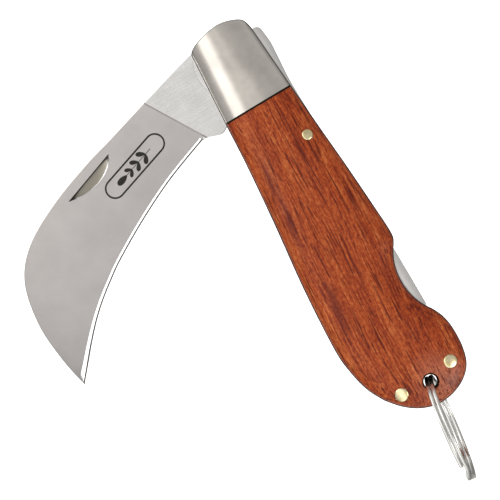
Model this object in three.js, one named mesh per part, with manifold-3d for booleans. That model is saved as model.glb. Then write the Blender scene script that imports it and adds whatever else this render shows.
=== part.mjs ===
// Folding hawkbill knife with a back lock, for pruning and grafting.
//
// Frame, in millimetres: the handle stands upright with the bolster on top (+Z) and the butt below.
// +X points to the back of the handle, where the lock bar is, and -X to its belly, where the blade folds in.
// -Y is the front side. The origin is where the axis of the blade's pivot meets the flat rear side.
// The blade is stored part way open, and the split ring hangs from the butt.

import * as THREE from 'three';
import { mergeVertices } from 'three/addons/utils/BufferGeometryUtils.js';
import Module from 'manifold-3d';

const wasm = await Module();
wasm.setup();

// ---- Driving dimensions ----

const DEGREES = Math.PI / 180;

// thicknesses across the knife, from the middle plane outwards
const TANG_THICKNESS = 2.6;
const BODY_THICKNESS = 2.0;
const SLOT_HALF = 1.4;
const LINER_THICKNESS = 1.0;
const HALF_WIDTH = 6.0;
const SEAM = 0.05;
const LINER_FACE = SLOT_HALF + LINER_THICKNESS;
const SHELL_FACE = LINER_FACE + SEAM;
const FILLER_HALF = SLOT_HALF - SEAM;

// handle
const JOINT_Z = -12.3;
const JOINT_GAP = 0.3;
const SHELL_ROUND = { across: 2.2, inwards: 1.5 };
const SHELL_INSET = 0.25;
const SCOOP = { x: 22.0, z: -65.4, radius: 14.7, halfAngle: 37 * DEGREES };

// pins and the holes that they go through
const PIN_CLEARANCE = 0.1;
const PIVOT = { x: 0, z: 0, radius: 1.9, halfLength: 5.2 };
const LOCK_BAR_PIN = { x: 6.0, z: -24.2, radius: 1.3 };
const BELLY_REAR_PIN = { x: -6.5, z: -87.8, radius: 1.5875 };
const BACK_REAR_PIN = { x: 7.4, z: -86.9, radius: 1.5875 };
const PIN_DOME = 0.15;
const LANYARD_HOLE = { x: 1.0, z: -88.6, radius: 1.95 };
const RIVETS = [{ x: -4.6, z: -8.8 }, { x: 4.2, z: -8.8 }];
const RIVET_RADIUS = 0.9;
const RIVET_DEPTH = 1.8;

// blade, drawn open, pointing up, then turned to its stored angle
const BLADE_ANGLE = -103 * DEGREES;
const TANG_RADIUS = 5.6;
const LOCK_NOTCH = { floor: 4.1, low: 0.7, high: 4.3 };
const BEVEL_WIDTH = 1.1;
const BEVEL_DEPTH = 0.75;
const NAIL_NICK_DEPTH = 0.55;
const TIP_CLEARANCE_RADIUS = 84.6;

// lock bar, drawn flush in the handle, then turned on its pin so that its lug rides on the tang
const LOCK_BAR_LIFT = 3.0 * DEGREES;
const LOCK_BAR_THICKNESS = 2.6;

// split ring
const RING_RADIUS = 13.25;
const RING_WIRE_RADIAL = 1.1;
const RING_WIRE_AXIAL = 2.0;
const RING_CHAMFER = 0.3;
const RING_DROP = 11.9;
const RING_SWING = 7.7 * DEGREES;
const RING_TWIST = -5.5 * DEGREES;

// how finely round shapes are divided
const PIN_SIDES = 20;
const RING_SIDES = 48;
const SPLINE_STEPS = 3;
const BEVEL_STEPS = 24;
const SAME_POINT = 0.01;

// ---- Materials ----

function metal(color, roughness) {
  return new THREE.MeshStandardMaterial({ color, roughness, metalness: 1 });
}

const BLADE_STEEL = () => metal(0xc4c1be, 0.32);
const SPRING_STEEL = () => metal(0xb4b2ae, 0.38);
const NICKEL = () => metal(0xc9c3ba, 0.28);
const BRASS = () => metal(0xd8c070, 0.3);
const ROSEWOOD = () => new THREE.MeshStandardMaterial({ color: 0x9c4426, roughness: 0.42, metalness: 0 });

// ---- Geometry helpers ----

// The shape as a polygon in which no two neighbouring points coincide.
function polygon(shape) {
  const corners = shape.getPoints(SPLINE_STEPS);
  return new THREE.Shape(corners.filter((corner, i) => corner.distanceTo(corners.at(i - 1)) > SAME_POINT));
}

// A plate with the given outline in the XZ plane, from yLow to yHigh.
function plate(shape, yLow, yHigh) {
  const geometry = new THREE.ExtrudeGeometry(polygon(shape), { depth: yHigh - yLow, bevelEnabled: false });
  geometry.rotateX(Math.PI / 2);
  geometry.translate(0, yHigh, 0);
  return geometry;
}

function cylinderAcross(at, radius, yLow, yHigh) {
  const geometry = new THREE.CylinderGeometry(radius, radius, yHigh - yLow, PIN_SIDES);
  geometry.translate(at.x, (yLow + yHigh) / 2, at.z);
  return geometry;
}

function box(xLow, xHigh, yLow, yHigh, zLow, zHigh) {
  const geometry = new THREE.BoxGeometry(xHigh - xLow, yHigh - yLow, zHigh - zLow);
  geometry.translate((xLow + xHigh) / 2, (yLow + yHigh) / 2, (zLow + zHigh) / 2);
  return geometry;
}

function solid(geometry) {
  const bare = geometry.clone();
  bare.deleteAttribute('normal');
  bare.deleteAttribute('uv');
  const merged = mergeVertices(bare, 1e-4);
  return new wasm.Manifold(new wasm.Mesh({
    numProp: 3,
    vertProperties: new Float32Array(merged.attributes.position.array),
    triVerts: new Uint32Array(merged.index.array),
  }));
}

function geometryOf(manifold) {
  const mesh = manifold.getMesh();
  const geometry = new THREE.BufferGeometry();
  geometry.setAttribute('position', new THREE.BufferAttribute(new Float32Array(mesh.vertProperties), 3));
  geometry.setIndex(new THREE.BufferAttribute(new Uint32Array(mesh.triVerts), 1));
  geometry.computeVertexNormals();
  return geometry;
}

function cut(manifold, ...tools) {
  return tools.reduce((rest, tool) => rest.subtract(solid(tool)), manifold);
}

function bore(at, radius = at.radius + PIN_CLEARANCE) {
  return cylinderAcross(at, radius, -2 * HALF_WIDTH, 2 * HALF_WIDTH);
}

function points(...pairs) {
  return pairs.map(([x, z]) => new THREE.Vector2(x, z));
}

function named(name, geometry, material) {
  const mesh = new THREE.Mesh(geometry, material);
  mesh.name = name;
  return mesh;
}

// ---- Handle ----

// Outline of the whole handle: round nose, back edge with the thumb scoop, round butt and swelling belly.
function handleOutline() {
  const shape = new THREE.Shape();
  shape.moveTo(-7.9, 4.0);
  shape.splineThru(points([-7.55, 6.1], [-5.4, 7.5], [-1.9, 8.5], [1.5, 8.8], [4.5, 8.1], [6.9, 6.7], [7.7, 4.3]));
  shape.lineTo(8.7, JOINT_Z);
  const hornX = SCOOP.x - SCOOP.radius * Math.cos(SCOOP.halfAngle);
  const hornZ = SCOOP.z + SCOOP.radius * Math.sin(SCOOP.halfAngle);
  shape.splineThru(points([9.4, -23.5], [10.2, -35], [10.8, -46], [11.1, -54], [hornX, hornZ]));
  shape.absarc(SCOOP.x, SCOOP.z, SCOOP.radius, Math.PI - SCOOP.halfAngle, Math.PI + SCOOP.halfAngle, false);
  shape.splineThru(points([11.5, -77.2], [12.0, -81], [11.6, -86], [10.2, -89.8], [7.4, -92.4], [3.6, -93.9],
    [-0.5, -94.1], [-4.4, -92.8], [-7.8, -90.3], [-10.6, -87]));
  shape.splineThru(points([-12.8, -82.6], [-14.1, -77], [-14.5, -70.6], [-13.4, -55], [-11.4, -38], [-9.9, -23],
    [-9.2, JOINT_Z]));
  return shape;
}

// The rounded outer shell on one side, still in one piece with bolster and scale. side is -1 at the front.
function handleShell(side) {
  const depth = HALF_WIDTH - SHELL_ROUND.across;
  const geometry = new THREE.ExtrudeGeometry(polygon(handleOutline()), {
    depth: 2 * depth,
    bevelThickness: SHELL_ROUND.across,
    bevelSize: SHELL_ROUND.inwards - SHELL_INSET,
    bevelOffset: -SHELL_ROUND.inwards,
    bevelSegments: 2,
  });
  geometry.rotateX(Math.PI / 2);
  geometry.translate(0, depth, 0);
  const half = side < 0
    ? box(-40, 40, -2 * HALF_WIDTH, -SHELL_FACE, -120, 40)
    : box(-40, 40, SHELL_FACE, 2 * HALF_WIDTH, -120, 40);
  return solid(geometry).intersect(solid(half));
}

function bolster(side) {
  const above = box(-40, 40, -40, 40, JOINT_Z + JOINT_GAP / 2, 40);
  const innerFace = side * SHELL_FACE;
  const pivotDepth = side * (PIVOT.halfLength + PIN_CLEARANCE);
  const rivetDepth = side * (SHELL_FACE + RIVET_DEPTH + PIN_CLEARANCE);
  const pocket = (at, radius, end) => cylinderAcross(
    at, radius + PIN_CLEARANCE, Math.min(innerFace - side, end), Math.max(innerFace - side, end));
  const rivetPockets = RIVETS.map((rivet) => pocket(rivet, RIVET_RADIUS, rivetDepth));
  const form = handleShell(side).intersect(solid(above));
  return geometryOf(cut(form, pocket(PIVOT, PIVOT.radius, pivotDepth), ...rivetPockets));
}

function scale(side) {
  const below = box(-40, 40, -40, 40, -120, JOINT_Z - JOINT_GAP / 2);
  const form = handleShell(side).intersect(solid(below));
  return geometryOf(cut(form, bore(LOCK_BAR_PIN), bore(BELLY_REAR_PIN), bore(BACK_REAR_PIN),
    bore(LANYARD_HOLE, LANYARD_HOLE.radius)));
}

function liner(side) {
  const yLow = side < 0 ? -LINER_FACE : SLOT_HALF;
  const sheet = solid(plate(handleOutline(), yLow, yLow + LINER_THICKNESS));
  const rivetHoles = RIVETS.map((rivet) => bore(rivet, RIVET_RADIUS + PIN_CLEARANCE));
  return geometryOf(cut(sheet, bore(PIVOT), bore(LOCK_BAR_PIN), bore(BELLY_REAR_PIN), bore(BACK_REAR_PIN),
    bore(LANYARD_HOLE, LANYARD_HOLE.radius), ...rivetHoles));
}

// Short hidden rivet that holds the bolster on its liner.
function bolsterRivet(at, side) {
  const inner = side * (SLOT_HALF + SEAM);
  const outer = side * (SHELL_FACE + RIVET_DEPTH);
  return cylinderAcross(at, RIVET_RADIUS, Math.min(inner, outer), Math.max(inner, outer));
}

// Pin right through the handle, with slightly domed ends that stand just proud of the wood.
function throughPin(at) {
  const half = HALF_WIDTH;
  const profile = points([0, -half - PIN_DOME], [at.radius * 0.6, -half - PIN_DOME * 0.6], [at.radius, -half],
    [at.radius, half], [at.radius * 0.6, half + PIN_DOME * 0.6], [0, half + PIN_DOME]);
  const geometry = new THREE.LatheGeometry(profile, PIN_SIDES);
  geometry.translate(at.x, 0, at.z);
  return geometry;
}

// Filler between the liners at the butt: the belly pin and the lanyard hole go through it.
function buttSpacer() {
  const region = new THREE.Shape();
  region.absarc(0, 0, TIP_CLEARANCE_RADIUS, 258 * DEGREES, 272 * DEGREES, false);
  region.splineThru(points([4.0, -88.0], [5.4, -90.2], [8.2, -91.2]));
  region.lineTo(9.5, -96);
  region.lineTo(-20, -96);
  const form = solid(plate(handleOutline(), -FILLER_HALF, FILLER_HALF))
    .intersect(solid(plate(region, -3, 3)));
  return geometryOf(cut(form, bore(BELLY_REAR_PIN), bore(LANYARD_HOLE, LANYARD_HOLE.radius)));
}

// Leaf spring: an eye round the back rear pin, and a leaf that bears on the inside of the lock bar's tail.
function lockSpring() {
  const eyeRadius = 3.0;
  const leaf = new THREE.Shape();
  leaf.moveTo(9.9, -85.6);
  leaf.splineThru(points([8.9, -81], [7.4, -76], [6.4, -71], [6.15, -67]));
  leaf.lineTo(5.15, -66.9);
  leaf.splineThru(points([5.2, -71], [5.9, -76], [6.9, -81], [6.6, -85.6]));
  const form = solid(plate(leaf, -FILLER_HALF, FILLER_HALF))
    .add(solid(cylinderAcross(BACK_REAR_PIN, eyeRadius, -FILLER_HALF, FILLER_HALF)));
  return geometryOf(cut(form, bore(BACK_REAR_PIN)));
}

// ---- Blade ----

const EDGE_POINTS = points([-30.8, 77.9], [-27.7, 73.6], [-24.8, 69.6], [-21.9, 65.2], [-19.6, 61], [-17.5, 56.3],
  [-15.6, 51.4], [-12.6, 41.1], [-10.2, 30.1], [-8.75, 18.3]);

function bladeOutline() {
  const shape = new THREE.Shape();
  shape.moveTo(7.8, LOCK_NOTCH.high);
  shape.splineThru(points([7.6, 12], [7.1, 22], [6.5, 33], [6.1, 42], [4.7, 53.5], [1.7, 64.2], [-3.8, 71.4],
    [-13.3, 75.9], [-23.1, 77.6], [-30.8, 77.9]));
  shape.splineThru(EDGE_POINTS.slice(1));
  shape.lineTo(-9.1, 16.9);
  shape.splineThru(points([-10.1, 15.5], [-10.9, 13.7], [-10.6, 12.1], [-9.7, 11.0]));
  const flatAngle = 198 * DEGREES;
  const flatReach = Math.acos(LOCK_NOTCH.floor / TANG_RADIUS);
  const notchAngle = Math.asin(LOCK_NOTCH.low / TANG_RADIUS);
  const flatStart = flatAngle - flatReach;
  shape.lineTo(TANG_RADIUS * Math.cos(flatStart), TANG_RADIUS * Math.sin(flatStart));
  const flatEnd = flatAngle + flatReach;
  shape.lineTo(TANG_RADIUS * Math.cos(flatEnd), TANG_RADIUS * Math.sin(flatEnd));
  shape.absarc(0, 0, TANG_RADIUS, flatEnd, 2 * Math.PI + notchAngle, false);
  shape.lineTo(LOCK_NOTCH.floor, LOCK_NOTCH.low);
  shape.lineTo(LOCK_NOTCH.floor, LOCK_NOTCH.high);
  return shape;
}

// Everything past the slanted plunge line, from the middle plane outwards to the stock's face.
function grindRegion(side) {
  const region = new THREE.Shape(points([30, 28.9], [-40, 7.1], [-40, 90], [30, 90]));
  const low = side < 0 ? -TANG_THICKNESS : BODY_THICKNESS / 2;
  const high = side < 0 ? -BODY_THICKNESS / 2 : TANG_THICKNESS;
  return plate(region, low, high);
}

// Wedge swept along the cutting edge, which leaves a bevel on one side. The sweep's section has x across the
// knife, towards the front side, and y away from the blade.
function edgeBevel(side) {
  const face = BODY_THICKNESS / 2;
  const section = points([side * (face + 0.05), -BEVEL_WIDTH], [side * (face - BEVEL_DEPTH - 0.2), 0.3],
    [side * (face + 1), 0.3]);
  const path = new THREE.CatmullRomCurve3(EDGE_POINTS.map((point) => new THREE.Vector3(point.x, 0, point.y)));
  return new THREE.ExtrudeGeometry(new THREE.Shape(section), { steps: BEVEL_STEPS, extrudePath: path });
}

// Crescent with a straight side towards the spine, for opening the blade with a fingernail.
function nailNick() {
  const shape = new THREE.Shape();
  shape.moveTo(4.3, 36.2);
  shape.lineTo(2.7, 50.9);
  shape.splineThru(points([1.1, 46.6], [1.0, 42], [2.3, 38.3], [4.3, 36.2]));
  return plate(shape, -BODY_THICKNESS / 2 - 1, -BODY_THICKNESS / 2 + NAIL_NICK_DEPTH);
}

function blade() {
  const stock = solid(plate(bladeOutline(), -TANG_THICKNESS / 2, TANG_THICKNESS / 2));
  return geometryOf(cut(stock, grindRegion(-1), grindRegion(1), edgeBevel(-1), edgeBevel(1), nailNick(), bore(PIVOT)));
}

// ---- Lock bar ----

// Drawn flush with the back of the handle, about its own pin.
function lockBar() {
  const shape = new THREE.Shape();
  shape.moveTo(4.3, 1.2);
  shape.lineTo(4.3, 3.9);
  shape.lineTo(7.0, 3.9);
  shape.quadraticCurveTo(8.15, 3.7, 8.25, 2.2);
  shape.splineThru(points([8.45, -5], [8.6, -12], [9.3, -24], [10.1, -35], [10.8, -46], [11.5, -58], [12.1, -72]));
  shape.quadraticCurveTo(12.0, -73.4, 10.9, -73.5);
  shape.lineTo(9.4, -73.2);
  shape.splineThru(points([8.9, -66], [8.2, -55], [7.6, -44], [7.2, -34]));
  shape.quadraticCurveTo(6.6, -29, 5.2, -26.9);
  shape.absarc(LOCK_BAR_PIN.x, LOCK_BAR_PIN.z, 2.8, 253 * DEGREES, 115 * DEGREES, true);
  shape.splineThru(points([6.3, -19], [6.35, -14], [6.3, -8], [5.8, -3]));
  shape.lineTo(5.8, 0.6);
  const form = solid(plate(shape, -LOCK_BAR_THICKNESS / 2, LOCK_BAR_THICKNESS / 2));
  const geometry = geometryOf(cut(form, bore(LOCK_BAR_PIN)));
  geometry.translate(-LOCK_BAR_PIN.x, 0, -LOCK_BAR_PIN.z);
  return geometry;
}

// ---- Split ring ----

function splitRing() {
  const inner = RING_RADIUS - RING_WIRE_RADIAL;
  const half = RING_WIRE_AXIAL / 2;
  const profile = points([inner, -half + RING_CHAMFER], [inner + RING_CHAMFER, -half],
    [RING_RADIUS - RING_CHAMFER, -half], [RING_RADIUS, -half + RING_CHAMFER],
    [RING_RADIUS, half - RING_CHAMFER], [RING_RADIUS - RING_CHAMFER, half],
    [inner + RING_CHAMFER, half], [inner, half - RING_CHAMFER], [inner, -half + RING_CHAMFER]);
  const geometry = new THREE.LatheGeometry(profile, RING_SIDES);
  geometry.rotateZ(Math.PI / 2);
  return geometry;
}

// ---- Assembly ----

const knife = new THREE.Group();
knife.position.y = -HALF_WIDTH;

const SIDES = [['front', -1], ['rear', 1]];
for (const [word, side] of SIDES) {
  knife.add(named(`${word}_bolster`, bolster(side), NICKEL()));
  knife.add(named(`${word}_scale`, scale(side), ROSEWOOD()));
  knife.add(named(`${word}_liner`, liner(side), SPRING_STEEL()));
  knife.add(named(`${word}_belly_rivet`, bolsterRivet(RIVETS[0], side), SPRING_STEEL()));
  knife.add(named(`${word}_back_rivet`, bolsterRivet(RIVETS[1], side), SPRING_STEEL()));
}

const pivotPin = cylinderAcross(PIVOT, PIVOT.radius, -PIVOT.halfLength, PIVOT.halfLength);
knife.add(named('pivot_pin', pivotPin, NICKEL()));
knife.add(named('lock_bar_pin', throughPin(LOCK_BAR_PIN), BRASS()));
knife.add(named('belly_rear_pin', throughPin(BELLY_REAR_PIN), BRASS()));
knife.add(named('back_rear_pin', throughPin(BACK_REAR_PIN), BRASS()));
knife.add(named('butt_spacer', buttSpacer(), SPRING_STEEL()));
knife.add(named('lock_spring', lockSpring(), SPRING_STEEL()));

const bladeTurn = new THREE.Group();
bladeTurn.rotation.y = BLADE_ANGLE;
bladeTurn.add(named('blade', blade(), BLADE_STEEL()));
knife.add(bladeTurn);

const lockBarTurn = new THREE.Group();
lockBarTurn.position.set(LOCK_BAR_PIN.x, 0, LOCK_BAR_PIN.z);
lockBarTurn.rotation.y = LOCK_BAR_LIFT;
lockBarTurn.add(named('lock_bar', lockBar(), SPRING_STEEL()));
knife.add(lockBarTurn);

const ringTurn = new THREE.Group();
ringTurn.position.set(LANYARD_HOLE.x, 0, LANYARD_HOLE.z);
ringTurn.rotation.y = RING_SWING;
const ring = named('split_ring', splitRing(), NICKEL());
ring.position.z = -RING_DROP;
ring.rotation.z = RING_TWIST;
ringTurn.add(ring);
knife.add(ringTurn);

const group = new THREE.Group();
group.name = 'folding_hawkbill_knife';
group.add(knife);

export default group;
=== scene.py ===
"""Folding hawkbill knife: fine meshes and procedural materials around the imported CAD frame.

Everything is in the CAD frame: +Z up along the handle, +X towards its back, -Y towards the front side,
with the origin where the blade's pivot meets the rear side. Outlines are drawn in millimetres in the
XZ plane.
"""
import math

import bmesh
import bpy
import numpy as np
from mathutils import Matrix, Vector
from mathutils.geometry import delaunay_2d_cdt


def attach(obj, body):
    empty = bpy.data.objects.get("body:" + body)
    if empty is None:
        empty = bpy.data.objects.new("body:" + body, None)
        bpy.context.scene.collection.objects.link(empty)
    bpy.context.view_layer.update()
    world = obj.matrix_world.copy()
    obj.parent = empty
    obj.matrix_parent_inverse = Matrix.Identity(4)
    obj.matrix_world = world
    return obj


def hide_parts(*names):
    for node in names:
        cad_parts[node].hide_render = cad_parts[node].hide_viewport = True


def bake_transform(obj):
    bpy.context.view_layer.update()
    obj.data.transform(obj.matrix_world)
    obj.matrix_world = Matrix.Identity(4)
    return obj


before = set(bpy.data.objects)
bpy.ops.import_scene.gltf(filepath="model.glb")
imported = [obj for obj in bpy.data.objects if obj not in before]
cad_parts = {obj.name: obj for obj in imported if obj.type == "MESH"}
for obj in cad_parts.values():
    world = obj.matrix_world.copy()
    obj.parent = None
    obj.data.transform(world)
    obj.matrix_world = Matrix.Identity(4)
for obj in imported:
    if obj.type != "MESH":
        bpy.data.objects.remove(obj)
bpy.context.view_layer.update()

MM = 0.001

BLACK = (0, 0, 0)
WHITE = (1, 1, 1)

# ---- Driving dimensions, in millimetres and degrees ----

MIDDLE_Y = -6.0          # middle plane of the knife
HALF_WIDTH = 6.0         # from the middle plane out to the crown of a bolster or scale
SLOT_HALF = 1.4          # ... to the inner face of a liner
LINER_FACE = 2.4         # ... to the outer face of a liner
SHELL_FACE = 2.45        # ... to the inner face of a bolster or scale
FILLER_HALF = 1.35       # ... to the faces of the butt spacer and the lock spring
JOINT_Z = -12.3          # joint between bolster and scale
JOINT_GAP = 0.46
OUTLINE_SPACING = 0.45   # between neighbouring points of the outlines

PIVOT = (0.0, 0.0)
LOCK_BAR_PIN = (6.0, -24.2)
BELLY_REAR_PIN = (-6.5, -87.8)
BACK_REAR_PIN = (7.4, -86.9)
LANYARD_HOLE = (1.0, -88.6)
PIVOT_HOLE_RADIUS = 2.0
SMALL_PIN_RADIUS = 1.3
REAR_PIN_RADIUS = 1.64
PIN_CLEARANCE = 0.04
SPRING_CLEARANCE = 0.06  # round the pins in the lock bar and its spring
PIN_PROUD = 0.16
PIN_DOME = 0.16
PINS = (("lock_bar_pin", LOCK_BAR_PIN, SMALL_PIN_RADIUS),
        ("belly_rear_pin", BELLY_REAR_PIN, REAR_PIN_RADIUS),
        ("back_rear_pin", BACK_REAR_PIN, REAR_PIN_RADIUS))
LANYARD_RADIUS = 1.95
INNER_LANYARD_RADIUS = 1.62

SCOOP_CENTRE = (22.0, -65.4)
SCOOP_RADIUS = 14.7
SCOOP_HALF_ANGLE = 37.0
SHELL_INSET = 0.25       # the bolsters and scales stop this far inside the liners' edge
SHELL_STRAIGHT = 0.75
SHELL_HALF_SPAN = 8.2    # the barrel section reaches its full height this far in from the edge
SHELL_SQUARENESS = 2.5   # 2 is an ellipse, more is squarer
BOLSTER_SIDES = (((-10.0, -22.0), (-7.9, 4.0), (-7.2, 12.0)), ((9.3, -22.0), (7.7, 4.3), (7.2, 12.0)))
HOLE_ROUNDING = 0.45
LOCK_BAR_LIFT = 3.0
HIDDEN_BEVEL = 0.1       # on the rivets and the pivot pin

BLADE_ANGLE = -103.0
TANG_HALF = 1.3
TANG_RADIUS = 5.6
TANG_CHAMFER = 0.14
KICK_ANGLE = 198.0       # where the flat of the tang's round end faces
NOTCH_FLOOR = 4.1
NOTCH_LOW = 0.7
WEAR_RADIUS = 9.1        # ring that the bolsters' edge has worn into the tang
WEAR_DEPTH = 0.013
WEAR_WIDTH = 0.14
SPINE_HALF = 1.0
SPINE_CHAMFER = 0.16
BEVEL_HALF = 0.42
BEVEL_WIDTH = 0.76
BEVEL_TIP_EXTRA = 0.55   # the bevel is wider by this at the tip
BEVEL_TIP_REACH = 14.0
EDGE_HALF = 0.05
EDGE_LINE = 0.38         # the near-black line along the very edge, a painted dark reflection
PLUNGE = ((6.0, 21.5), (-9.0, 16.8))
PLUNGE_WIDTH = 0.34
NICK_DEPTH = 0.7
NICK_WALL_WIDTH = 0.26
NICK_RIM_WIDTH = 0.2
MARK_ENDS = ((-1.3, 24.3), (-2.9, 43.2))
MARK_HALF = 2.45
MARK_LINE = 0.42
MARK_PROUD = 0.012
LEAF_WIDTH = 0.288       # share of the leaf's length

RING_RADIUS = 13.25
RING_DROP = 11.9
RING_SWING = 7.7
RING_TWIST = -5.5
RING_CHANGE = 243.0      # where round the ring the two turns of wire change places
RING_RAMP = 15.0
RING_END_GAP = 18.0
WIRE_HALF_RADIAL = 0.55
WIRE_HALF_AXIAL = 0.47
WIRE_SQUARENESS = 0.55   # 1 is an ellipse, less is squarer
WIRE_SIDES = 20
WIRE_STEPS = 220

# ---- Lengths in metres: the stage and the camera ----

FLOOR_Z = -0.155
STAGE_RADIUS = 3.2
STAGE_CURVE = 1.0
STAGE_TOP = 3.2
STAGE_SIDES = 64
STAGE_GLOW = 1.0         # strength of its emission
CAMERA_DISTANCE = 1.5
CAMERA_WIDTH = 0.1174    # width of the picture at the knife
CAMERA_SENSOR = 36.0     # mm
CAMERA_ROLL = 31.0       # degrees
CAMERA_AIM = (-19.42, -40.43)  # mm, on the middle plane

# ---- Light and colour ----

KEY_POWER = 1.2
FILL_POWER = 1.3
TOP_POWER = 0.5
WORLD_STRENGTH = 1.0
WORLD_BEHIND = 0.6       # share of it that comes from behind the knife
WORLD_WARMTH = (1.0, 0.985, 0.965)
# Brightness by direction: X of the direction, from -1 at the belly side to 1 at the back side, and tone.
WORLD_TONES = [(-1.0, 0.42), (-0.68, 0.50), (-0.56, 1.40), (-0.24, 1.60), (-0.14, 0.68), (-0.06, 0.66),
               (0.0, 0.84), (0.1, 0.49), (0.5, 0.44), (1.0, 0.50)]
WOOD_TONES = [(0.38, (0.140, 0.014, 0.005)), (0.46, (0.300, 0.043, 0.010)), (0.53, (0.425, 0.080, 0.018)),
              (0.62, (0.590, 0.170, 0.050))]
WOOD_STREAK = (0.105, 0.011, 0.004)
WOOD_HEART = (0.38, 0.24, 0.50)
# Dark figures of the wood: (x, z) of the middle, half width and half length, and lean in degrees.
WOOD_HEARTS = [((-7.4, -33.0), (1.5, 18.0), 7), ((6.3, -52.0), (2.2, 14.0), 7),
               ((-9.0, -62.0), (1.6, 9.0), 5), ((6.0, -93.0), (2.2, 7.0), -20),
               ((-8.5, -96.0), (2.0, 6.0), 25), ((2.5, -30.0), (1.0, 9.0), 3)]
# Painted sheen: colour and place of a paler patch on the wood near the butt, standing in for a soft
# highlight.
WOOD_SHEEN = (0.62, 0.27, 0.175)
WOOD_SHEEN_PLACE = ((4.2, -92.0), (8.0, 11.5), -20)


# ---- Outlines ----

def spline_through(points, steps=10):
    """Points along the smooth curve that three.js's SplineCurve draws. The last is left out."""
    found = []
    last = len(points) - 1
    for i in range(last):
        p0 = np.array(points[max(i - 1, 0)])
        p1 = np.array(points[i])
        p2 = np.array(points[i + 1])
        p3 = np.array(points[min(i + 2, last)])
        if i == 0:
            p0 = p1
        for k in range(steps):
            t = k / steps
            v0 = (p2 - p0) / 2
            v1 = (p3 - p1) / 2
            cubic = (2 * p1 - 2 * p2 + v0 + v1) * t**3
            square = (-3 * p1 + 3 * p2 - 2 * v0 - v1) * t**2
            found.append(cubic + square + v0 * t + p1)
    return [tuple(p) for p in found]


def arc(centre, radius, start, end, steps):
    """Points along an arc in degrees, both ends included."""
    angles = [math.radians(start + (end - start) * k / steps) for k in range(steps + 1)]
    return [(centre[0] + radius * math.cos(a), centre[1] + radius * math.sin(a)) for a in angles]


def circle(centre, radius, steps=40):
    return arc(centre, radius, 0, 360, steps)[:-1]


def resample(points, spacing, closed=True):
    """Points at even spacing along a polyline, with its sharp corners kept."""
    source = [np.array(p, dtype=float) for p in points]
    if closed:
        source.append(source[0])
    corners = [0]
    for i in range(1, len(source) - 1):
        before = source[i] - source[i - 1]
        after = source[i + 1] - source[i]
        turn = abs(math.atan2(before[0] * after[1] - before[1] * after[0], float(before @ after)))
        if turn > math.radians(25):
            corners.append(i)
    corners.append(len(source) - 1)
    result = []
    for first, second in zip(corners, corners[1:]):
        stretch = np.array(source[first:second + 1])
        lengths = np.concatenate([[0], np.cumsum(np.linalg.norm(np.diff(stretch, axis=0), axis=1))])
        count = max(1, round(lengths[-1] / spacing))
        for at in np.linspace(0, lengths[-1], count, endpoint=False):
            result.append(tuple(float(np.interp(at, lengths, stretch[:, i])) for i in range(2)))
    if not closed:
        result.append(tuple(source[-1]))
    return result


def nose_line():
    """The bolster's outline, from the joint's belly end over the nose to the joint's back end."""
    line = [(-9.2, JOINT_Z)]
    line += spline_through([(-7.9, 4.0), (-7.55, 6.1), (-5.4, 7.5), (-1.9, 8.5), (1.5, 8.8), (4.5, 8.1),
                            (6.9, 6.7), (7.7, 4.3)])
    return line + [(7.7, 4.3), (8.7, JOINT_Z)]


def body_line():
    """The wood part's outline, from the joint's back end down round the butt and up to its belly end."""
    scoop = arc(SCOOP_CENTRE, SCOOP_RADIUS, 180 - SCOOP_HALF_ANGLE, 180 + SCOOP_HALF_ANGLE, 80)
    line = spline_through([(8.7, JOINT_Z), (9.4, -23.5), (10.2, -35), (10.8, -46), (11.1, -54), scoop[0]])
    line += scoop[:-1]
    line += spline_through([scoop[-1], (11.5, -77.2), (12.0, -81), (11.6, -86), (10.2, -89.8), (7.4, -92.4),
                            (3.6, -93.9), (-0.5, -94.1), (-4.4, -92.8), (-7.8, -90.3), (-10.6, -87)])
    line += spline_through([(-10.6, -87), (-12.8, -82.6), (-14.1, -77), (-14.5, -70.6), (-13.4, -55),
                            (-11.4, -38), (-9.9, -23), (-9.2, JOINT_Z)])
    return line + [(-9.2, JOINT_Z)]


def quadratic(a, b, c, steps):
    """Points along a quadratic curve, without its first point."""
    result = []
    for k in range(1, steps + 1):
        t = k / steps
        result.append(tuple((1 - t) ** 2 * a[i] + 2 * t * (1 - t) * b[i] + t * t * c[i] for i in range(2)))
    return result


HANDLE = nose_line()[:-1] + body_line()[:-1]
HANDLE_LOOP = resample(HANDLE, OUTLINE_SPACING)

EDGE = [(-30.8, 77.9), (-27.7, 73.6), (-24.8, 69.6), (-21.9, 65.2), (-19.6, 61), (-17.5, 56.3),
        (-15.6, 51.4), (-12.6, 41.1), (-10.2, 30.1), (-8.75, 18.3)]
SPINE = [(7.8, 4.3), (7.6, 12), (7.1, 22), (6.5, 33), (6.1, 42), (4.7, 53.5), (1.7, 64.2), (-3.8, 71.4),
         (-13.3, 75.9), (-23.1, 77.6), (-30.8, 77.9)]


# ---- Distances ----

def distance_to_line(points, line, closed=True):
    """How far each point lies from a polyline."""
    points = np.asarray(points, dtype=float)
    ends = np.asarray(line, dtype=float)
    starts = ends if closed else ends[:-1]
    stops = np.roll(ends, -1, axis=0) if closed else ends[1:]
    best = np.full(len(points), np.inf)
    for a, b in zip(starts, stops):
        along = b - a
        length2 = max(float(along @ along), 1e-12)
        t = np.clip(((points - a) @ along) / length2, 0, 1)
        best = np.minimum(best, np.linalg.norm(points - (a + t[:, None] * along), axis=1))
    return best


def inside(points, loop):
    """Which points lie inside a closed loop."""
    points = np.asarray(points, dtype=float)
    loop = np.asarray(loop, dtype=float)
    result = np.zeros(len(points), dtype=bool)
    for a, b in zip(loop, np.roll(loop, -1, axis=0)):
        if a[1] == b[1]:
            continue
        crosses = (a[1] > points[:, 1]) != (b[1] > points[:, 1])
        reach = (b[0] - a[0]) * (points[:, 1] - a[1]) / (b[1] - a[1]) + a[0]
        result ^= crosses & (points[:, 0] < reach)
    return result


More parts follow.
